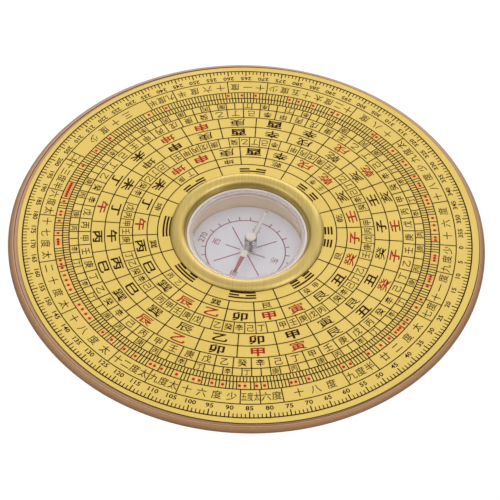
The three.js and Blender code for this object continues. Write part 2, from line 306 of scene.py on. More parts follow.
# %% Printing inks
def new_ink(name, solid, thin, roughness):
    """A screen printing ink, solid in most places and thin where the mesh left less."""
    ink, tree, shader, place = new_finish(name, Roughness=roughness, Specular_IOR_Level=0.05)
    specks = add_node(tree, "ShaderNodeTexNoise", marks(place, 0.45, 2.0))
    cover(tree, shader, lay_over(tree, linear(solid), thin, specks, 0.42, 0.75))
    return ink


black_ink = new_ink("black screen ink", "351602", "4C2A08", 0.6)
red_ink = new_ink("red screen ink", "B5251B", "C54836", 0.6)
orange_ink = new_ink("pale orange screen ink", "F6B766", "F7C077", 0.5)
card_ink = new_ink("pink-red card ink", "9A2450", "B04A6E", 0.6)
print("inks:", black_ink.name, red_ink.name, orange_ink.name, card_ink.name)

# %% [markdown]
# ## Tray paint
# The tray is a zinc casting under a copper-brown metallic paint, with fine flakes that sparkle slightly.
# The lathe left fine rings. Three marks are painted light and shade: the rim's top is painted paler than
# its outer roll, a dark line of painted shade runs in the groove beside the plate, and the lower edge
# is painted darker as shade. All of these follow the distance from the axis or the height, which Object
# coordinates give.

# %% Tray paint
recess_radius = 73.15
gloss = {"Metallic": 0.22, "Roughness": 0.45, "Coat_Weight": 0.08, "Coat_Roughness": 0.15}
tray_paint, tree, shader, place = new_finish("copper-brown metallic paint on cast zinc", **gloss)
reach = from_axis(tree, place)
high = add_node(tree, "ShaderNodeSeparateXYZ", {0: place}).outputs["Z"]
brown, _ = drifting(tree, place, 9, 3.0, "B08055", "9B6B41")
# Painted light and shade: paler inwards of the rim's outer roll, so the top looks lit and the roll shaded.
rim_top_lit = lay_over(tree, brown, "CDA17C", reach, 74.6 * MM, 73.4 * MM)
flakes = add_node(tree, "ShaderNodeTexNoise", marks(place, 0.35, 2.0))
flaked = lay_over(tree, rim_top_lit, "E0B98C", flakes, 0.45, 0.8, 0.35)
section = add_node(tree, "ShaderNodeCombineXYZ", {0: reach, 1: high})
turning = add_node(tree, "ShaderNodeTexNoise", marks(section, 0.45, 2.0))
ringed = lay_over(tree, flaked, "6E4A33", turning, 0.45, 0.7, 0.55)
# Painted shade: a dark line in the groove beside the plate, where the gap lies in shade.
groove = add_node(tree, "ShaderNodeMath", {0: reach, 1: (recess_radius - 0.08) * MM}, operation="SUBTRACT")
beside = add_node(tree, "ShaderNodeMath", {0: groove}, operation="ABSOLUTE")
groove_shaded = lay_over(tree, ringed, "33231A", beside, 0.16 * MM, 0.07 * MM, 0.85)
# Painted shade: darker on the lower edge of the rim, which turns away from the light.
lower_edge_shaded = lay_over(tree, groove_shaded, "54463C", high, 12.9 * MM, 12.65 * MM, 0.7)
cover(tree, shader, lower_edge_shaded, flakes, 0.2, 0.02)
print("tray paint:", len(tree.nodes), "nodes")

# %% [markdown]
# ## Satin brass
# The ring is turned brass, brushed after turning, so the lines of the brush all run one way over it.
# A noise stretched fifty times along that way gives the lines. They lift the roughness and the
# colour a little. Metal keeps the default IOR, because its colour sets what it mirrors.

# %% Satin brass
line_width = 0.35
squeeze = 0.02
brass, tree, shader, place = new_finish("satin brushed brass", Metallic=1.0)
stretch = add_node(tree, "ShaderNodeMapping", {"Vector": place, "Scale": (1.0, squeeze, 0.05)})
tone, lines = drifting(tree, stretch, line_width, 3.0, "DFC87E", "B39A54")
dull = add_node(tree, "ShaderNodeMapRange", {"Value": lines, "To Min": 0.28, "To Max": 0.42})
tree.links.new(dull.outputs[0], shader.inputs["Roughness"])
cover(tree, shader, tone, lines, 0.3, 0.02)
print("brush lines:", round(line_width / squeeze, 1), "mm long")

# %% [markdown]
# ## Clear plastic
# The capsule is moulded polystyrene: clear in the window, and with a share of plain pale plastic, a haze,
# outside a radius or below a height, which is the lid's outer edge, the tip of its plug ring and the
# whole wall of the cup. The colour of that haze is painted light: white on the lid as a painted
# highlight, beige on the cup's wall as a painted reflection of the brass round it. Lamp light can't find
# its way through solid glass in a path tracer without much noise, so rays from lamps pass a Transparent
# shader instead.

# %% Clear plastic
def new_clear(name, haze_glow_colour, shade, roughness, clear_radius, clear_height, share, colour="FCFAFD"):
    """Clear moulded plastic with a haze outside a radius or below a height in mm, its colour painted light.
    Lamp light passes it.
    """
    clear, tree, shader, place = new_finish(name, Roughness=roughness, IOR=1.59)
    high = add_node(tree, "ShaderNodeSeparateXYZ", {0: place}).outputs["Z"]
    haze_and_glow = 0.0
    for value, start, soft in ((from_axis(tree, place), clear_radius, 0.2), (high, clear_height, -0.1)):
        limits = {"Value": value, "From Min": start * MM, "From Max": (start + soft) * MM}
        beyond = add_node(tree, "ShaderNodeMapRange", limits)
        haze_and_glow = add_node(tree, "ShaderNodeMath", {0: beyond, 1: haze_and_glow}, operation="MAXIMUM")
    body, _ = drifting(tree, place, 6, 2.0, colour, "FFFFFF")
    cover(tree, shader, lay_over(tree, body, haze_glow_colour, haze_and_glow, 0.0, 1.0))
    weight = add_node(tree, "ShaderNodeMapRange", {"Value": haze_and_glow, "To Min": 1.0, "To Max": 1 - share})
    tree.links.new(weight.outputs[0], shader.inputs["Transmission Weight"])
    path = add_node(tree, "ShaderNodeLightPath").outputs["Is Shadow Ray"]
    through = add_node(tree, "ShaderNodeBsdfTransparent", {0: linear(shade)})
    mix = add_node(tree, "ShaderNodeMixShader", {0: path, 1: shader, 2: through})
    output = next(n for n in tree.nodes if n.type == "OUTPUT_MATERIAL")
    tree.links.new(mix.outputs[0], output.inputs["Surface"])
    return clear


# The lid's haze is near white, a painted highlight on its edge. The cup's is beige, a painted reflection of
# the brass.
lid_styrene = new_clear("clear polystyrene, polished", "FFF8F2", "FFFFFF", 0.02, 18.2, 10.6, 0.8)
cup_styrene = new_clear("clear polystyrene, moulded", "F8DEBC", "FFFFFF", 0.02, 17.9, 0, 0.9)
smoky_styrene = new_clear("grey polystyrene, moulded", "BDB9B0", "DCDAD4", 0.05, 40, 0, 0.0, "BDB9B0")
print("clear plastics:", lid_styrene.name, cup_styrene.name, smoky_styrene.name)

# %% [markdown]
# ## Card, needle and button
# The card is matt printed board, cool white with a hint of lilac. The needle is blued spring steel
# under gloss enamel: pale at the north, red on the outer part of the south half and grey at the north
# tip. It is also grey next to the hub, and darker along both edges as painted shade.
# The colours meet in lines across the blade, so a Mapping node brings Object coordinates to the pin
# and turns them until X runs along the blade.

# %% Card, needle and button
card_board, tree, shader, place = new_finish("matt printed board", Roughness=0.85)
tone, fibre = drifting(tree, place, 0.6, 4.0, "F0F4FF", "F6F8FF")
cover(tree, shader, tone, fibre, 0.1, 0.02)

needle_heading = math.radians(72.3)
needle_half = 13.5 * MM
pivot = Vector((1.25, 0.2, 0)) * MM
needle_enamel, tree, shader, place = new_finish("gloss enamel on spring steel", Roughness=0.35)
to_blade = {"Vector": place, "Location": pivot, "Rotation": (0, 0, needle_heading)}
along = add_node(tree, "ShaderNodeMapping", to_blade, vector_type="TEXTURE")
axes = add_node(tree, "ShaderNodeSeparateXYZ", {0: along})
ends = {"Value": axes.outputs["X"], "From Min": -needle_half, "From Max": needle_half}
spot = add_node(tree, "ShaderNodeMapRange", ends)
halves = add_node(tree, "ShaderNodeValToRGB", {0: spot})
halves.color_ramp.interpolation = "CONSTANT"
ramp = halves.color_ramp.elements
ramp[0].color = linear("7A1C30")
ramp[1].position, ramp[1].color = 0.975, linear("8A857C")
for position, colour in ((0.05, "A9284A"), (0.24, "E2DDD2"), (0.34, "B0A7A1"), (0.57, "E2E0DA")):
    ramp.new(position).color = linear(colour)
worn = add_node(tree, "ShaderNodeTexNoise", marks(place, 0.8, 3.0))
tone = lay_over(tree, halves, "C8BEB4", worn, 0.0, 1.0, 0.2)
beside = add_node(tree, "ShaderNodeMath", {0: axes.outputs["Y"]}, operation="ABSOLUTE")
# Painted shade: darker along both edges of the blade.
cover(tree, shader, lay_over(tree, tone, "5A4440", beside, 0.35 * MM, 0.75 * MM, 0.7))

button_plastic, tree, shader, place = new_finish("cream acetal, turned", Roughness=0.4)
cover(tree, shader, drifting(tree, place, 0.4, 2.0, "F6EFE2", "ECE3D2")[0])
print("finishes so far:", len(bpy.data.materials))

# %% [markdown]
# ## Hidden and underside finishes
# Film, foam, rubber, the moulded cover and the small metal parts differ in three things: the colour
# they drift between, the size of their grain, and how much that grain stands out. A table of those
# and one loop is enough.

# %% Film, foam, rubber, cover and small metal parts
plain_finishes = {
    # name: (colour, second colour, grain in mm, bump height in mm, roughness, metallic)
    "double-sided mounting film": ("D8D0BC", "E2DCCB", 1.5, 0.01, 0.6, 0.0),
    "closed-cell foam, die cut": ("2E2D2A", "3C3A36", 0.5, 0.12, 0.95, 0.0),
    "moulded rubber, matt": ("1F1F1F", "2A2A29", 0.3, 0.03, 0.85, 0.0),
    "ABS, moulded with a spark-eroded grain": ("3A2E28", "45382F", 0.6, 0.05, 0.62, 0.0),
    "zinc plated steel": ("B9BCC0", "CDD0D3", 0.7, 0.005, 0.32, 1.0),
    "turned brass": ("C9A24E", "D8B562", 0.3, 0.005, 0.28, 1.0),
}
plain = {}
for name, (first, second, grain, height, roughness, metallic) in plain_finishes.items():
    finish, tree, shader, place = new_finish(name, Roughness=roughness, Metallic=metallic)
    tone, noise = drifting(tree, place, grain, 3.0, first, second)
    cover(tree, shader, tone, noise, 0.6, height)
    plain[name.split(",")[0]] = finish
print("plain finishes:", sorted(plain))

# %% [markdown]
# ## Turned pieces
# Nearly every piece of a compass is round, as if turned on a lathe. Blender's Spin or Screw can turn a
# profile, but writing the rings of points out directly keeps the faces pointing outwards and closes
# the seam and the poles for certain. Each profile runs anticlockwise: outwards along the bottom, up,
# and back along the top. A third number on a point rounds that corner by as much, because no real
# edge is perfectly sharp and the rounding catches the light.

# %% Curves in a profile
largest_share = 0.45
support_step = 1.3


def sweep(start, control, end, steps):
    """Points on a curve with one control point."""
    start, control, end = Vector(start), Vector(control), Vector(end)
    stretch = [i / steps for i in range(steps + 1)]
    return [start * (1 - t) ** 2 + control * 2 * t * (1 - t) + end * t**2 for t in stretch]


def rounded(profile):
    """The profile with its marked corners rounded, and a support point beside each rounding."""
    points = []
    for i, corner in enumerate(profile):
        spot = Vector(corner[:2])
        if len(corner) < 3:
            points.append(spot)
            continue
        before = Vector(profile[i - 1][:2]) - spot
        after = Vector(profile[(i + 1) % len(profile)][:2]) - spot
        size = min(corner[2], before.length * largest_share, after.length * largest_share)
        start = before.normalized() * size
        end = after.normalized() * size
        if before.length > size * 3:
            points.append(spot + start * support_step)
        points += sweep(spot + start, spot, spot + end, 4)
        if after.length > size * 3:
            points.append(spot + end * support_step)
    return points


def smooth_line(points, steps):
    """A curve through profile points, each stretch shaped by its two neighbours as well."""
    points = [Vector(point) for point in points]
    ends = [points[0] * 2 - points[1], *points, points[-1] * 2 - points[-2]]
    line = []
    for a, b, c, d in zip(ends, ends[1:], ends[2:], ends[3:]):
        for i in range(steps):
            t = i / steps
            spot = b * 2 + (c - a) * t + (a * 2 - b * 5 + c * 4 - d) * t**2 + (b * 3 - a - c * 3 + d) * t**3
            line.append(spot / 2)
    return line + [points[-1]]


print("points of a rounded corner:", len(rounded([(0, 0), (9, 0, 1), (9, 9)])) - 2)

# %% Turn a profile into a piece
sharp_angle = math.radians(32)


def skinned(name, vertices, rings):
    """A closed mesh over rings of vertex numbers, each joined to the next and the last to the first."""
    faces = []
    for low, high in zip(rings, rings[1:] + rings[:1]):
        for i in range(len(low) - 1):
            face = list(dict.fromkeys((low[i], low[i + 1], high[i + 1], high[i])))
            if len(face) > 2:
                faces.append(face)
    mesh = bpy.data.meshes.new(name)
    mesh.from_pydata(vertices, [], faces)
    mesh.shade_smooth()
    mesh.set_sharp_from_angle(angle=sharp_angle)
    return mesh


def turned(name, profile, steps):
    """A closed mesh turned round the Z axis from a profile of (radius, height[, rounding]) in mm."""
    vertices = []
    rings = []
    for radius, height in rounded(profile):
        first = len(vertices)
        count = steps if radius > 1e-6 else 1
        for i in range(count):
            angle = 2 * math.pi * i / steps
            vertices.append((radius * math.cos(angle) * MM, radius * math.sin(angle) * MM, height * MM))
        rings.append([first + i % count for i in range(steps + 1)])
    return skinned(name, vertices, rings)


def add_piece(name, mesh, finish, body, slot, *replaced):
    """Puts a mesh into the scene as a finished piece that rides on a body of the frame."""
    piece = put(name, mesh)
    mesh.materials.clear()
    mesh.materials.append(finish)
    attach(piece, body)
    if replaced:
        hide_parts(*replaced)
    print(f"{name}: {len(mesh.polygons)} faces")


# %% [markdown]
# ## Tray, dial sheet and bezel
# These are the pieces that the photograph shows most of. Their profiles use the CAD model's own sizes
# in millimetres, with three to four times its steps and with rounded edges, so that the rim and the
# bezel shine in one unbroken line. The tray also keeps the four bosses that its screws go into.

# %% Tray
rim_points = [
    (74.5, 12.05), (74.85, 12.3), (75.0, 12.55), (74.85, 12.8), (74.5, 13.05),
    (73.9, 13.45), (73.55, 13.73), (73.25, 13.68), (recess_radius, 13.55),
]
tray_profile = [
    (46.6, 1.0), (48.6, 1.0, 0.3),
    *sweep((49.0, 1.35), (62.5, 3.2), (74.45, 12.01), 24),
    *smooth_line(rim_points, 4),
    (recess_radius, 13.5), (20.35, 13.5), (20.35, 10.8), (19.6, 10.8), (19.6, 4.45), (21.2, 4.45),
    (21.2, 2.3), (24.0, 2.3), (24.0, 10.2, 0.5), (25.0, 11.2, 0.5),
    *sweep((67.0, 11.2), (60.0, 5.0), (44.0, 2.3), 12),
    (46.6, 2.3),
]
tray_mesh = turned("tray", tray_profile, 288)
boss_profile = [(1.3, 2.3), (3.4, 2.3, 0.3), (3.4, 11.7), (0, 11.7), (0, 8.5), (1.3, 8.5)]
boss_mesh = turned("boss", boss_profile, 32)
screw_circle = 34 * MM
screw_angles = [math.radians(45 + 90 * i) for i in range(4)]
solid = bmesh.new()
solid.from_mesh(tray_mesh)
for angle in screw_angles:
    boss = boss_mesh.copy()
    boss.transform(Matrix.Translation(Vector((math.cos(angle), math.sin(angle), 0)) * screw_circle))
    solid.from_mesh(boss)
solid.to_mesh(tray_mesh)
solid.free()
add_piece("tray", tray_mesh, tray_paint, "base", "tray_paint", "tray_body")

# %% Dial sheet and bezel
sheet_profile = [(20.45, 13.65), (plate_radius, 13.65), (plate_radius, 14.0, 0.08), (20.45, 14.0)]
sheet = turned("dial_sheet", sheet_profile, 288)
for vertex in sheet.vertices:
    if vertex.co.xy.length > plate_radius / 2 * MM:
        vertex.co += plate_offset
add_piece("dial_sheet", sheet, enamel, "base", "dial_print", "dial_plate")

bezel_profile = [
    (19.6, 10.85), (20.3, 10.85), (20.3, 14.02), (24.25, 14.02, 0.04), (24.25, 14.3, 0.1),
    *sweep((24.25, 14.3), (23.3, 15.17), (21.9, 15.17), 14)[1:],
    *sweep((21.9, 15.17), (19.45, 15.17), (19.15, 13.0), 20)[1:-1],
    (19.15, 13.0, 0.06), (19.15, 12.87), (19.6, 12.87),
]
add_piece("bezel", turned("bezel", bezel_profile, 256), brass, "base", "satin_brass", "bezel_ring")

# %% [markdown]
# ## Capsule, card and hub
# The cup and the lid are two closed solids with an air gap between them, as the real ones are, so
# their edges bend the light in the thin double lines that the photograph shows at the far side.
# Their corners are rounded by a tenth of a millimetre or two. The hub and its parts stand on the
# pivot, a little off the middle, and so does the hole of the card.

# %% Capsule, card and hub
turned_pieces = {
    # piece: (steps, finish, body, slot, CAD node, profile)
    "cup": (192, cup_styrene, "capsule", "clear_plastic", "capsule_cup", [
        (0, 3.15), (20.6, 3.15, 0.2), (20.6, 4.35, 0.2), (19.0, 4.35, 0.15),
        (19.0, 11.9, 0.1), (18.3, 11.9, 0.1), (18.3, 4.15, 0.25), (0, 4.15),
    ]),
    "lid": (192, lid_styrene, "capsule", "clear_plastic", "capsule_lid", [
        (0, 11.95), (17.3, 11.95, 0.15), (17.3, 10.4, 0.15), (18.2, 10.4, 0.15),
        (18.2, 11.95, 0.1), (19.1, 11.95, 0.1), (19.1, 12.75, 0.25), (0, 12.75),
    ]),
    "card": (192, card_board, "capsule", "card_paper", "compass_card", [
        (1.0, 4.2), (17.9, 4.2), (17.9, 4.5, 0.05), (1.0, 4.5),
    ]),
    "collar": (48, button_plastic, "capsule", "button_plastic", "pivot_collar", [
        (0.4, 4.55), (1.5, 4.55), (1.5, 4.9, 0.08), (0.9, 5.25, 0.08), (0.4, 5.25),
    ]),
    "hub": (64, smoky_styrene, "needle", "clear_plastic", "needle_hub", [
        (0.75, 5.7), (1.15, 5.7, 0.08), (1.15, 8.775), (2.0, 8.775, 0.12),
        (2.0, 10.3, 0.12), (0, 10.3), (0, 9.8), (0.75, 9.8, 0.1),
    ]),
    "hub_ring": (64, smoky_styrene, "needle", "clear_plastic", "hub_collar", [
        (1.2, 5.5), (2.0, 5.5, 0.12), (2.0, 8.425, 0.12), (1.2, 8.425),
    ]),
    "button": (64, button_plastic, "needle", "button_plastic", "hub_button", [
        (0, 10.35), (1.6, 10.35, 0.08), (1.6, 11.05, 0.2), (0, 11.05),
    ]),
}
on_pivot = ("collar", "hub", "hub_ring", "button")
for name, (steps, finish, body, slot, node, profile) in turned_pieces.items():
    mesh = turned(name, profile, steps)
    if name in on_pivot:
        mesh.transform(Matrix.Translation(pivot))
    if name == "card":
        for vertex in mesh.vertices:
            if vertex.co.xy.length < 2 * MM:
                vertex.co += pivot
    add_piece(name, mesh, finish, body, slot, node)

# %% [markdown]
# ## Balance band
# A short pale band is pushed over the south half of the blade, as makers do to keep a needle level.
# Its section goes round the blade with a little air between, and its corners are soft.

# %% Balance band
def soft_outline(half_width, low, high, count=20):
    """Points (y, z) round a soft-cornered oblong, in mm. A power under 1 squares the circle off."""
    outline = []
    for i in range(count):
        angle = 2 * math.pi * (i + 0.5) / count
        across, up = (math.copysign(abs(part) ** 0.4, part) for part in (math.cos(angle), math.sin(angle)))
        outline.append((half_width * across, (low + high) / 2 + (high - low) / 2 * up))
    return outline


def sleeve(name, outer, inner, start, end):
    """A closed sleeve along X between two outlines with as many points each, in mm."""
    loops = [(start, inner), (start, outer), (end, outer), (end, inner)]
    vertices = [(x * MM, y * MM, z * MM) for x, outline in loops for y, z in outline]
    count = len(outer)
    rings = [[loop * count + i % count for i in range(count + 1)] for loop in range(len(loops))]
    return skinned(name, vertices, rings)


band = sleeve("balance_band", soft_outline(1.0, 8.36, 8.88), soft_outline(0.86, 8.45, 8.75), -7.0, -4.4)
band.transform(Matrix.Translation(pivot) @ Matrix.Rotation(needle_heading, 4, "Z"))
add_piece("balance_band", band, button_plastic, "needle", "button_plastic")

# %% [markdown]
# ## CAD pieces that stay
# Six pieces are flat, hidden or too small to gain from a finer shape. They keep the CAD mesh, and only
# their material changes.

# %% Finishes on the CAD pieces that stay
kept_nodes = {
    "plate_film": plain["double-sided mounting film"],
    "capsule_cushion": plain["closed-cell foam"],
    "bottom_cover": plain["ABS"],
    "pivot_pin": plain["zinc plated steel"],
    "hub_jewel": plain["turned brass"],
    "needle_blade": needle_enamel,
}
for name, finish in kept_nodes.items():
    for material_slot in nodes[name].material_slots:
        material_slot.material = finish
print("kept CAD nodes:", sorted(kept_nodes))

# %% [markdown]
# ## Screws and pads
# Four countersunk screws and four rubber pads stand at even steps round the underside. Anything that
# repeats like this suits Geometry Nodes: one tree takes points that only know their angle, puts them
# on a circle, and sets a shape on each. The screw's shape is made in the tree too, a cone and a rod
# with a cross cut out of the head. A pad is a turned mesh that the tree is handed as an object.

# %% Tree helpers
def new_tree(name, sizes, **others):
    """A Geometry Nodes tree with named inputs: sizes, and others with their kinds. Gives (tree, inputs)."""
    tree = bpy.data.node_groups.new(name, "GeometryNodeTree")
    tree.interface.new_socket(name="Points", in_out="INPUT", socket_type="NodeSocketGeometry")
    for label, kind in {**dict.fromkeys(sizes, "Float"), **others, "Finish": "Material"}.items():
        tree.interface.new_socket(name=label, in_out="INPUT", socket_type="NodeSocket" + kind)
    tree.interface.new_socket(name="Result", in_out="OUTPUT", socket_type="NodeSocketGeometry")
    return tree, add_node(tree, "NodeGroupInput").outputs


def known(tree, label):
    """The value that every point brings along under that label."""
    return add_node(tree, "GeometryNodeInputNamedAttribute", {"Name": label}, data_type="FLOAT")


def on_circle(tree, radius, angle, height):
    """The place at that radius and that clockwise angle."""
    plan = []
    for function, factor in (("COSINE", 1.0), ("SINE", -1.0)):
        part = add_node(tree, "ShaderNodeMath", {0: angle}, operation=function)
        part = add_node(tree, "ShaderNodeMath", {0: part, 1: radius}, operation="MULTIPLY")
        plan.append(add_node(tree, "ShaderNodeMath", {0: part, 1: factor}, operation="MULTIPLY"))
    return add_node(tree, "ShaderNodeCombineXYZ", {0: plan[0], 1: plan[1], 2: height})


def finish_tree(tree, sockets, shape):
    """Ends a tree with real faces in the finish that it is handed."""
    real = add_node(tree, "GeometryNodeRealizeInstances", {"Geometry": shape})
    dressed = add_node(tree, "GeometryNodeSetMaterial", {"Geometry": real, "Material": sockets["Finish"]})
    add_node(tree, "NodeGroupOutput", {0: dressed})


def set_round(tree, sockets, shape, radius, height):
    """Ends a tree: the shape on every point of the circle, turned with it."""
    angle = known(tree, "angle")
    place = on_circle(tree, radius, angle, height)
    moved = add_node(tree, "GeometryNodeSetPosition", {"Geometry": sockets["Points"], "Position": place})
    turn = add_node(tree, "ShaderNodeMath", {0: angle, 1: -1.0}, operation="MULTIPLY")
    spin = add_node(tree, "ShaderNodeCombineXYZ", {2: turn})
    stamped = {"Points": moved, "Instance": shape, "Rotation": spin}
    finish_tree(tree, sockets, add_node(tree, "GeometryNodeInstanceOnPoints", stamped))


def plain_mesh(holder):
    """The mesh that an object's modifiers make. The object itself is taken away again."""
    mesh = bpy.data.meshes.new_from_object(holder.evaluated_get(bpy.context.evaluated_depsgraph_get()))
    holder.modifiers.clear()
    bpy.data.objects.remove(holder)
    return mesh


def run_tree(tree, points, values):
    """Runs a tree on points that are given as lists of attribute values, and gives the mesh it makes."""
    mesh = bpy.data.meshes.new("points")
    mesh.vertices.add(len(points["angle"]))
    for label, numbers in points.items():
        mesh.attributes.new(label, "FLOAT", "POINT").data.foreach_set("value", numbers)
    holder = put("points", mesh)
    modifier = holder.modifiers.new("tree", "NODES")
    modifier.node_group = tree
    for item in tree.interface.items_tree:
        if item.name in values:
            modifier[item.identifier] = values[item.name]
    return plain_mesh(holder)


# %% Screws
screw_sizes = {
    "Head radius": 2.4 * MM,
    "Shank radius": 1.25 * MM,
    "Head height": 1.15 * MM,
    "Length": 6.5 * MM,
    "Slot width": 0.5 * MM,
    "Slot depth": 0.45 * MM,
    "Circle radius": screw_circle,
    "Height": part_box("cover_screw_1")[0].z,
}
tree, sockets = new_tree("countersunk screws", screw_sizes)
cone = {"Vertices": 40, "Radius Top": sockets["Shank radius"], "Radius Bottom": sockets["Head radius"]}
head = add_node(tree, "GeometryNodeMeshCone", {**cone, "Depth": sockets["Head height"]})
rod = {"Vertices": 40, "Radius": sockets["Shank radius"], "Depth": sockets["Length"]}
shank = add_node(tree, "GeometryNodeMeshCylinder", rod)
half = add_node(tree, "ShaderNodeMath", {0: sockets["Length"], 1: 0.5}, operation="MULTIPLY")
lift = add_node(tree, "ShaderNodeCombineXYZ", {2: half})
shank = add_node(tree, "GeometryNodeTransform", {"Geometry": shank, "Translation": lift})
blank = add_node(tree, "GeometryNodeMeshBoolean", {"Mesh 2": head}, operation="UNION", solver="EXACT")
tree.links.new(shank.outputs[0], blank.inputs["Mesh 2"])
deep = add_node(tree, "ShaderNodeMath", {0: sockets["Slot depth"], 1: 2.0}, operation="MULTIPLY")
cross = add_node(tree, "GeometryNodeMeshBoolean", {"Mesh 1": blank}, operation="DIFFERENCE", solver="EXACT")
for first, second in (("Head radius", "Slot width"), ("Slot width", "Head radius")):
    size = add_node(tree, "ShaderNodeCombineXYZ", {0: sockets[first], 1: sockets[second], 2: deep})
    cutter = add_node(tree, "GeometryNodeMeshCube", {"Size": size})
    tree.links.new(cutter.outputs[0], cross.inputs["Mesh 2"])
set_round(tree, sockets, cross, sockets["Circle radius"], sockets["Height"])

zinc = plain["zinc plated steel"]
screws = run_tree(tree, {"angle": screw_angles}, {**screw_sizes, "Finish": zinc})
add_piece("cover_screws", screws, zinc, "base", "screw_steel", *[f"cover_screw_{i}" for i in range(1, 5)])

# %% Pads
tree, sockets = new_tree("pieces round a circle", ["Circle radius"], Piece="Object")
handed = add_node(tree, "GeometryNodeObjectInfo", {"Object": sockets["Piece"], "As Instance": True})
set_round(tree, sockets, handed.outputs["Geometry"], sockets["Circle radius"], 0.0)

rubber = plain["moulded rubber"]
pad_circle = 39 * MM
pad_profile = [(0, 0), (5.0, 0, 0.25), (5.0, 0.98, 0.1), (0, 0.98)]
pad_shape = bpy.data.objects.new("pad_shape", turned("pad_shape", pad_profile, 64))
pad_values = {"Piece": pad_shape, "Circle radius": pad_circle, "Finish": rubber}
pads = run_tree(tree, {"angle": [math.radians(90 * i) for i in range(4)]}, pad_values)
bpy.data.objects.remove(pad_shape)
add_piece("foot_pads", pads, rubber, "base", "pad_rubber", *[f"foot_pad_{i}" for i in range(1, 5)])

# %% [markdown]
# ## Trees that draw the dial
# A luopan's face is a table bent round a circle: circles, cell lines, degree ticks and the broken and
# unbroken bars of the eight trigrams. Three more trees draw all of it. One bends a strip along an arc,
# which gives circles and trigram bars. Another sets straight bars at given angles, which gives ticks
# and cell lines, and the last sets dots. Drawing them as thin shapes and not as a picture keeps every
# line sharp at any distance.

# %% Trees for arcs, bars and dots
tree, sockets = new_tree("printed arcs", ["Line width", "Height"], Steps="Int")
grid = {"Size X": 1.0, "Size Y": 1.0, "Vertices X": sockets["Steps"], "Vertices Y": 2}
strip = add_node(tree, "GeometryNodeMeshGrid", grid)
copies = add_node(tree, "GeometryNodeInstanceOnPoints", {"Points": sockets["Points"], "Instance": strip})
real = add_node(tree, "GeometryNodeRealizeInstances", {"Geometry": copies})
spot = add_node(tree, "GeometryNodeInputPosition")
across = add_node(tree, "ShaderNodeSeparateXYZ", {0: spot}).outputs
along_arc = {0: across["X"], 1: known(tree, "sweep"), 2: known(tree, "angle")}
angle = add_node(tree, "ShaderNodeMath", along_arc, operation="MULTIPLY_ADD")
off_arc = {0: across["Y"], 1: sockets["Line width"], 2: known(tree, "radius")}
radius = add_node(tree, "ShaderNodeMath", off_arc, operation="MULTIPLY_ADD")
place = on_circle(tree, radius, angle, sockets["Height"])
bent = add_node(tree, "GeometryNodeSetPosition", {"Geometry": real, "Position": place})
closed = add_node(tree, "GeometryNodeMergeByDistance", {"Geometry": bent, "Distance": 0.001 * MM})
finish_tree(tree, sockets, closed)
arc_tree = tree

tree, sockets = new_tree("printed bars", ["Inner radius", "Outer radius", "Line width", "Height"])
ends = {0: sockets["Outer radius"], 1: sockets["Inner radius"]}
length = add_node(tree, "ShaderNodeMath", ends, operation="SUBTRACT")
halfway = {0: length, 1: 0.5, 2: sockets["Inner radius"]}
middle = add_node(tree, "ShaderNodeMath", halfway, operation="MULTIPLY_ADD")
grid = {"Size X": length, "Size Y": sockets["Line width"], "Vertices X": 2, "Vertices Y": 2}
bar = add_node(tree, "GeometryNodeMeshGrid", grid)
set_round(tree, sockets, bar, middle, sockets["Height"])
bar_tree = tree

tree, sockets = new_tree("printed dots", ["Radius", "Dot radius", "Height"])
circle = {"Vertices": 10, "Radius": sockets["Dot radius"]}
dot = add_node(tree, "GeometryNodeMeshCircle", circle, fill_type="NGON")
set_round(tree, sockets, dot, sockets["Radius"], sockets["Height"])
dot_tree = tree
print("trees:", [group.name for group in bpy.data.node_groups])

# %% [markdown]
# ## A stock of printed shapes
# Every printed shape goes onto a pile for its ink, and each pile becomes one piece at the end. The
# ink lies a few thousandths of a millimetre above its sheet, so that the two never share a surface.
# Angles from here on are dial degrees, clockwise from the 0 mark.

# %% Ink piles
sheet_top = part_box("dial_plate")[1].z / MM
card_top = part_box("compass_card")[1].z / MM
inks = {
    # ink: (finish, height in mm, film in mm, piece, body, slot)
    "orange": (orange_ink, sheet_top + 0.004, 0.008, "dial_pale_cells", "base", "dial_print"),
    "black": (black_ink, sheet_top + 0.006, 0.02, "dial_black_print", "base", "dial_print"),
    "red": (red_ink, sheet_top + 0.006, 0.022, "dial_red_print", "base", "dial_print"),
    "card": (card_ink, card_top + 0.006, 0.02, "card_print", "capsule", "card_paper"),
}
piles = {ink: [] for ink in inks}


def draw(ink, tree, points, sizes, **others):
    """Runs a tree with an ink and sizes in mm, and puts what it draws on the ink's pile."""
    finish, height = inks[ink][:2]
    values = {label: size * MM for label, size in {**sizes, "Height": height}.items()}
    piles[ink].append(run_tree(tree, points, {**values, **others, "Finish": finish}))


def draw_arcs(ink, arcs, line_width, steps):
    """Arcs as (middle angle, sweep, radius), in degrees and mm."""
    angles, sweeps, radii = zip(*arcs)
    points = {"angle": [math.radians(a) for a in angles], "sweep": [math.radians(s) for s in sweeps]}
    points["radius"] = [radius * MM for radius in radii]
    draw(ink, arc_tree, points, {"Line width": line_width}, Steps=steps + 1)


def draw_bars(ink, angles, inner, outer, line_width):
    """Straight radial bars between two radii, at angles in degrees."""
    sizes = {"Inner radius": inner, "Outer radius": outer, "Line width": line_width}
    draw(ink, bar_tree, {"angle": [math.radians(a) for a in angles]}, sizes)


def draw_dots(ink, angles, radius, dot_radius):
    """Round dots on a circle, at angles in degrees."""
    sizes = {"Radius": radius, "Dot radius": dot_radius}
    draw(ink, dot_tree, {"angle": [math.radians(a) for a in angles]}, sizes)


def shift(meshes, x, y):
    """Moves printed shapes by x and y in mm, as a screen does that is laid down a little off its place."""
    for mesh in meshes:
        mesh.transform(Matrix.Translation((x * MM, y * MM, 0)))


print("ink heights in mm:", {ink: round(row[1], 3) for ink, row in inks.items()})

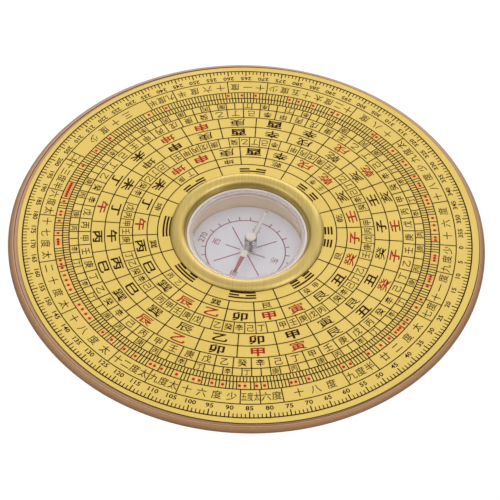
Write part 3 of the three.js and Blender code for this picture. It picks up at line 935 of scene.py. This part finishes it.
# %% [markdown]
# ## Dial marks
# Besides degree numbers a luopan is marked with the ten stems and twelve branches, the old Chinese
# ordinals, which number its cells as letters or Roman numerals would. A text object gives each mark's
# outline. It is turned into a mesh first and placed afterwards, with its top towards the centre, and
# each mark is made only once and then copied.

# %% Stamp a mark
digit_middle = 0.345
character_middle = 0.38
stock = {}


def mark_mesh(characters, weight):
    """Flat characters, one unit high and centred, with their strokes made bolder by weight."""
    if (characters, weight) not in stock:
        text = bpy.data.curves.new("mark", "FONT")
        text.body = characters
        text.align_x = "CENTER"
        text.resolution_u = 2
        text.offset = weight
        mesh = plain_mesh(put("mark", text))
        digits = characters.isdecimal() and characters.isascii()
        middle = digit_middle if digits else character_middle
        mesh.transform(Matrix.Translation((0, -middle, 0)))
        stock[characters, weight] = mesh
    return stock[characters, weight]


def stamp(ink, characters, radius, angle, size, stretch=1.0, weight=0.006, tops_out=False):
    """Prints characters with their middle at a radius in mm and a dial angle in degrees."""
    plan = -math.radians(angle)
    turn = plan + math.radians(-90 if tops_out else 90)
    spot = Vector((radius * math.cos(plan), radius * math.sin(plan), inks[ink][1])) * MM
    scale = Matrix.Diagonal((size * stretch * MM, size * MM, MM, 1))
    mesh = mark_mesh(characters, weight).copy()
    mesh.transform(Matrix.Translation(spot) @ Matrix.Rotation(turn, 4, "Z") @ scale)
    piles[ink].append(mesh)


# %% [markdown]
# ## Circles, cells and ticks
# Eleven circles part the rings, and the degree scale stands on a bolder one, a little off the middle.
# Along the near half of the bezel's edge runs a black arc, partly print and partly painted shade under
# that edge. The rings inside the scale are printed slightly turned against it, by the misfit of one
# screen to the next, and every cell line in them keeps that turn.

# %% Circles, cells and ticks
misfit = -0.9
circles = [28.2, 31.5, 36.05, 40.2, 44.8, 49.1, 53.0, 55.9, 57.9, 60.6, 65.8]
draw_arcs("black", [(0, 360, radius) for radius in circles], 0.33, 240)
# A black arc on the near half only, partly print and partly painted shade where the bezel's edge meets the
# dial.
draw_arcs("black", [(102, 176, 24.2)], 0.33, 120)

cell_lines = [
    # inner radius, outer radius, first angle, step, line width
    (24.2, 28.2, 22.5, 45, 0.36),
    (28.2, 31.5, 7.5, 15, 0.35),
    (31.5, 36.05, 7.5, 15, 0.35),
    (36.05, 40.2, 2.5, 5, 0.3),
    (40.2, 49.1, 0, 15, 0.35),
    (49.1, 53.0, 1, 6, 0.34),
    (53.0, 55.9, 1, 3, 0.33),
    (55.9, 57.9, 0.5, 1, 0.33),
]
for inner, outer, first, step, width in cell_lines:
    angles = [misfit + first + step * i for i in range(round(360 / step))]
    draw_bars("black", angles, inner, outer, width)

scale_base = 70.6
first_of_scale = len(piles["black"])
draw_arcs("black", [(0, 360, scale_base)], 0.4, 240)
draw_bars("black", [a for a in range(360) if a % 5], 69.2, scale_base, 0.3)
draw_bars("black", range(0, 360, 5), 68.5, scale_base, 0.36)
for degrees in range(0, 360, 5):
    stamp("black", str(degrees), 67.2, degrees, 2.05, 1.2, 0.02)
shift(piles["black"][first_of_scale:], 0.15, 0)
print("shapes in black ink:", len(piles["black"]))

# %% [markdown]
# ## Trigrams
# A trigram is three lines, each broken or unbroken, read from its bottom line, which lies outermost
# here. Writing an unbroken line as 1 makes the eight of them short strings. The photograph shows the
# eight of them a quarter of a millimetre off the middle of the bezel.

# %% Trigrams
trigrams = ["000", "100", "101", "110", "111", "011", "010", "001"]
line_radii = [26.5, 25.5, 24.5]
line_sweep = 18.6
break_sweep = 4.6
part = (line_sweep - break_sweep) / 2
offset = (break_sweep + part) / 2
bars = []
for i, trigram in enumerate(trigrams):
    middle = misfit + 45 * i
    for kind, radius in zip(trigram, line_radii):
        if kind == "1":
            bars.append((middle, line_sweep, radius))
        else:
            bars += [(middle - offset, part, radius), (middle + offset, part, radius)]
draw_arcs("black", bars, 0.58, 8)
shift(piles["black"][-1:], 0.16, -0.18)
print("trigram bars:", len(bars))

# %% [markdown]
# ## Rings of ordinals
# The great ring names 24 directions in steps of 15 degrees. It comes three times: once level with the
# scale, and twice turned by half a cell, one way and the other. Half of its marks are red on two of
# them. The rings of stems in between follow counting rules, so loops write them.

# %% Rings of directions
directions = "子癸丑艮寅甲卯乙辰巽巳丙午丁未坤申庚酉辛戌乾亥壬"
red_directions = "子癸寅甲乙辰午坤申戌乾壬"
dense_marks = "巽癸寅艮乾辰坤庚"
open_marks = "子丑甲卯乙巳丙午丁未申酉壬"
great_rings = [
    # middle radius, turn, may be red
    (33.8, 0, True),
    (42.45, -7.5, False),
    (46.9, 7.5, True),
]
for radius, turn, may_be_red in great_rings:
    for i, mark in enumerate(directions):
        ink = "red" if may_be_red and mark in red_directions else "black"
        weight = 0.026 if mark in open_marks else 0.012
        if mark in dense_marks:
            weight = 0.012 if ink == "red" else 0.005
        stamp(ink, mark, radius, misfit + turn + 15 * i, 3.4, 1.55, weight)
print("marks in stock:", len(stock))

# %% Rings of stems
stems = "甲乙丙丁戊己庚辛壬癸"
inner_marks = dict(
    壬="乾", 癸="艮", 艮="癸甲", 甲="艮", 乙="巽", 巽="丙乙", 丙="巽", 丁="坤", 坤="丁庚", 庚="坤", 辛="乾", 乾="壬辛"
)
for i, mark in enumerate(directions):
    pair = inner_marks.get(mark, "")
    for place, character in enumerate(pair):
        angle = misfit + 15 * i + (len(pair) - 1) * (0.5 - place) * 7
        stamp("black", character, 29.85, angle, 2.35, 1.5 if len(pair) == 1 else 0.95)

for branch in range(12):
    for k in range(5):
        angle = misfit + 30 * branch - 10 + 5 * k
        stamp("black", stems[(branch + 2 * k) % 10], 38.1, angle, 2.75, 0.95)
for cell in range(60):
    stamp("black", stems[(cell // 5 + 2 * (cell % 5)) % 10], 51.0, misfit - 20 + 6 * cell, 2.9)
for month in range(24):
    pair = "丙庚" if (month // 2) % 2 == 0 else "丁辛"
    for character, off_middle in zip(pair, (-3.5, 2.5)):
        stamp("black", character, 54.45, misfit + 15 * month + off_middle, 2.35, 0.95)
print("marks in stock:", len(stock))

# %% [markdown]
# ## Star dots and the ring of widths
# The next ring is a fine scale with red dots on pale cells. The ring outside it gives 27 widths in
# old Chinese degree numerals, such as sixteen degrees and a bit. Its cells are of uneven width, so
# their edges are listed, and the marks of each are spread evenly over its middle.

# %% Star dots
single_dots = [
    16.2, 21.6, 25.0, 34.2, 39.4, 43.0, 47.8, 67.6, 106.1, 114.4, 119.6, 123.7, 128.7, 132.5, 173.5,
    178.4, 186.3, 201.8, 209.4, 216.2, 287.3, 319.0, 331.3, 349.0,
]
dot_runs = [
    # first dot in degrees, number of dots, step
    (3.9, 3, 1.0), (12.2, 3, 1.0), (30.5, 2, 1.8), (35.2, 2, 1.2), (54.3, 2, 2.3), (71.5, 2, 1.3),
    (80.5, 2, 2.3), (86.1, 2, 1.6), (92.5, 2, 3.1), (99.3, 2, 1.7), (110.8, 2, 2.3), (138.9, 4, 2.0),
    (151.1, 4, 1.93), (159.8, 3, 1.5), (169.1, 3, 0.95), (180.8, 2, 1.3), (188.4, 7, 0.9),
    (232.1, 2, 6.3), (259.3, 3, 4.45), (279.3, 2, 3.0), (293.8, 2, 2.2), (309.7, 2, 1.7),
    (324.4, 2, 1.6), (334.5, 2, 1.0), (340.2, 3, 1.45), (351.9, 2, 2.0), (356.7, 2, 1.1),
]
dots = single_dots + [first + step * i for first, count, step in dot_runs for i in range(count)]
pale_half = 0.62
draw_dots("red", dots, 59.3, 0.48)
draw_bars("orange", dots, 58.0, 60.5, 1.05)
fine_lines = [a + 0.5 for a in range(360)]
clear_lines = [a for a in fine_lines if min(abs((a - d + 180) % 360 - 180) for d in dots) > pale_half]
draw_bars("black", clear_lines, 57.9, 60.6, 0.33)
print("dots:", len(dots), "fine lines left:", len(clear_lines))

# %% Ring of widths
widths = [
    # edge in degrees, marks of the cell that starts there
    (-0.5, "九度少"), (9.8, "十一度"), (20.9, "七度"), (27.1, "廿二度太"), (48.7, "九度半"), (57.9, "十八度"),
    (76.0, "六度"), (82.0, "五度太"), (87.3, "十六度少"), (104.1, "九度太"), (112.8, "十二度太"),
    (124.5, "十八度太"), (144.4, "二十度太"), (163.2, "十七度太"), (180.3, "六度太"), (190.2, "十三度半"),
    (202.0, "二太"), (205.1, "三十度少"), (234.2, "九度半"), (242.9, "十六度半"), (259.6, "十一度"),
    (271.6, "十五度少"), (285.8, "十二度太"), (299.5, "十八度"), (316.9, "九度太"), (327.0, "十八度少"),
    (343.2, "十六度"),
]
lines_left_out = (285.8, 327.0)
mark_size = 3.2
widest_pitch = 4.6
edges = [edge for edge, _ in widths] + [359.5]
draw_bars("black", [edge for edge in edges[:-1] if edge not in lines_left_out], 60.6, 65.8, 0.33)
for (edge, marks), following in zip(widths, edges[1:]):
    pitch = min(widest_pitch, (following - edge) / len(marks) * 0.97)
    stretch = min(1.0, pitch * 1.1 / mark_size)
    for i, character in enumerate(marks):
        angle = (edge + following) / 2 + ((len(marks) - 1) / 2 - i) * pitch
        stamp("black", character, 63.15, angle, mark_size, stretch, 0.002)
print("widths add up to", round(edges[-1] - edges[0], 1), "degrees")

# %% [markdown]
# ## The card in the capsule
# The card has its own north, and the capsule stands turned in the well, so its marks don't line up
# with the dial's. It is printed in one pink-red ink: a circle with a tick every 15 degrees, rays,
# the four quarters and their bearings, all with their tops outwards. The whole print lies a little
# off the middle of the card.

# %% Card print
card_north = -72.3
quarters = [card_north + 90 * i for i in range(4)]
diagonals = [angle + 45 for angle in quarters]
draw_arcs("card", [(0, 360, 12.75)], 0.33, 120)
draw_bars("card", [card_north + 15 * i for i in range(24) if i % 6], 12.8, 14.2, 0.3)
draw_bars("card", diagonals, 12.8, 14.4, 0.3)
draw_bars("card", diagonals, 1.7, 10.9, 0.34)
draw_bars("card", quarters, 1.7, 6.8, 0.3)
for angle, character, bearing in zip(quarters, "北东南西", ("0", "90", "180", "270")):
    stamp("card", character, 10.0, angle, 2.7, weight=0.0, tops_out=True)
    stamp("card", bearing, 14.7, angle, 2.8, tops_out=True)
shift(piles["card"], -0.32, -0.68)
print("shapes on the card:", len(piles["card"]))

# %% [markdown]
# ## Lay the ink down
# Each pile is joined into one mesh and given the thickness of a printed film with Solidify, so that
# the ink is a closed body with faces outwards, as everything else here is.

# %% Lay the ink down
def ink_film(name, meshes, thickness):
    """One closed mesh of all the shapes in a pile, thickened upwards by a film in mm."""
    film = bmesh.new()
    for mesh in meshes:
        film.from_mesh(mesh)
    for face in film.faces:
        face.normal_update()
        if face.normal.z < 0:
            face.normal_flip()
    joined = bpy.data.meshes.new(name)
    film.to_mesh(joined)
    film.free()
    holder = put(name, joined)
    solidify = holder.modifiers.new("film", "SOLIDIFY")
    solidify.thickness = thickness * MM
    solidify.offset = 1.0
    return plain_mesh(holder)


for ink, (finish, _, thickness, name, body, slot) in inks.items():
    add_piece(name, ink_film(name, piles[ink], thickness), finish, body, slot)

# %% [markdown]
# ## The size of the dressed model
# The dressed model must stay inside the box of the CAD model. Both boxes are kept side by side and
# printed in millimetres.

# %% Size and finish
dressed_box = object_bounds()
boxes = {"cad": [list(corner) for corner in cad_box], "visual": [list(corner) for corner in dressed_box]}
for name, box in boxes.items():
    print(name, [[round(c * 1000, 2) for c in corner] for corner in box])
